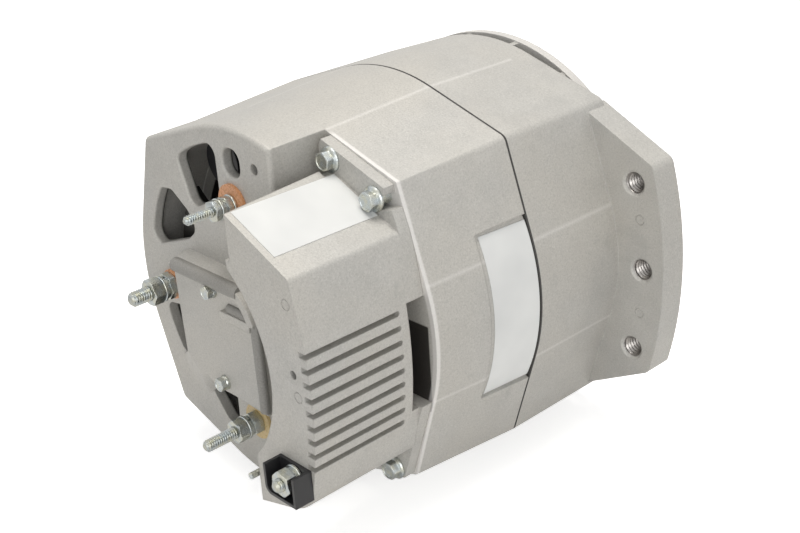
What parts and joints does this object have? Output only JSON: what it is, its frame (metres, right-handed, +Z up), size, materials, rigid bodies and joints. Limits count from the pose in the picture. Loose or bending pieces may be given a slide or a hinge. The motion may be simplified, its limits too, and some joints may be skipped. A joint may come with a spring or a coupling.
{
  "type": "alternator",
  "caption": "Alternator in a two-piece cast housing, with a side mounting flange, a finned regulator in a rear bay and studs for its terminals.",
  "frame": {"origin": "on the shaft axis, in the plane where the pulley seats", "axes": "+Y along the shaft to the drive end, +X to the mounting flange, +Z up"},
  "size_m": [0.223, 0.282, 0.196],
  "materials": {
    "cast_aluminium": "sand-cast, matte",
    "zinc_steel": "bright zinc plated",
    "spring_steel": "plain",
    "bearing_steel": "ground",
    "shaft_steel": "turned",
    "pole_iron": "turned, varnished",
    "lamination": "stacked sheets",
    "fan_steel": "black, satin",
    "copper_wire": "enamelled",
    "copper": "turned",
    "black_plastic": "moulded",
    "orange_insulator": "moulded",
    "tan_insulator": "moulded",
    "potting": "cast resin",
    "carbon": "pressed",
    "heat_sink": "pressed"
  },
  "bodies": {
    "housing": {"rear_housing": "cast_aluminium", "drive_end_housing": "cast_aluminium", "regulator_housing": "cast_aluminium", "regulator_potting": "potting", "regulator_bolts": "zinc_steel", "regulator_spacer": "zinc_steel", "regulator_pin": "zinc_steel", "terminal_shield": "black_plastic", "field_stud": "zinc_steel", "field_nut": "zinc_steel", "field_washers": "zinc_steel", "output_insulator": "orange_insulator", "output_washers": "zinc_steel", "output_nuts": "zinc_steel", "output_stud": "zinc_steel", "ground_insulator": "tan_insulator", "ground_washers": "zinc_steel", "ground_nuts": "zinc_steel", "ground_stud": "zinc_steel", "relay_insulator": "orange_insulator", "relay_washers": "zinc_steel", "relay_nuts": "zinc_steel", "relay_stud": "zinc_steel", "brush_holder": "black_plastic", "brush_holder_screws": "zinc_steel", "inner_brush_spring": "spring_steel", "outer_brush_spring": "spring_steel", "positive_heat_sink": "heat_sink", "negative_heat_sink": "heat_sink", "rectifier_diodes": "zinc_steel", "capacitor": "black_plastic", "stator_core": "lamination", "stator_winding": "copper_wire", "rear_bearing_outer_race": "bearing_steel", "front_bearing_outer_race": "bearing_steel", "bearing_retainer": "zinc_steel", "retainer_screws": "zinc_steel", "through_bolts": "zinc_steel"},
    "rotor": {"rotor_shaft": "shaft_steel", "front_claw_pole": "pole_iron", "rear_claw_pole": "pole_iron", "coil_bobbin": "black_plastic", "field_coil": "copper_wire", "slip_rings": "copper", "slip_ring_insulator": "black_plastic", "bearing_spacer": "shaft_steel", "cooling_fan": "fan_steel", "pulley_collar": "shaft_steel", "rear_bearing_inner_race": "bearing_steel", "rear_bearing_balls": "bearing_steel", "front_bearing_inner_race": "bearing_steel", "front_bearing_balls": "bearing_steel"},
    "inner_brush": {"inner_brush": "carbon"},
    "outer_brush": {"outer_brush": "carbon"}
  },
  "joints": [
    {"name": "rotor_spin", "type": "hinge", "parent": "housing", "child": "rotor", "pos_m": [0, 0, 0], "axis": [0, 1, 0], "continuous": true},
    {"name": "inner_brush_slide", "type": "slide", "parent": "housing", "child": "inner_brush", "axis": [0, 0, -1], "range_m": [0, 0.006], "stiffness_N_per_m": 200, "springref_m": -0.01, "deforming": ["inner_brush_spring"]},
    {"name": "outer_brush_slide", "type": "slide", "parent": "housing", "child": "outer_brush", "axis": [0, 0, -1], "range_m": [0, 0.006], "stiffness_N_per_m": 200, "springref_m": -0.01, "deforming": ["outer_brush_spring"]}
  ]
}
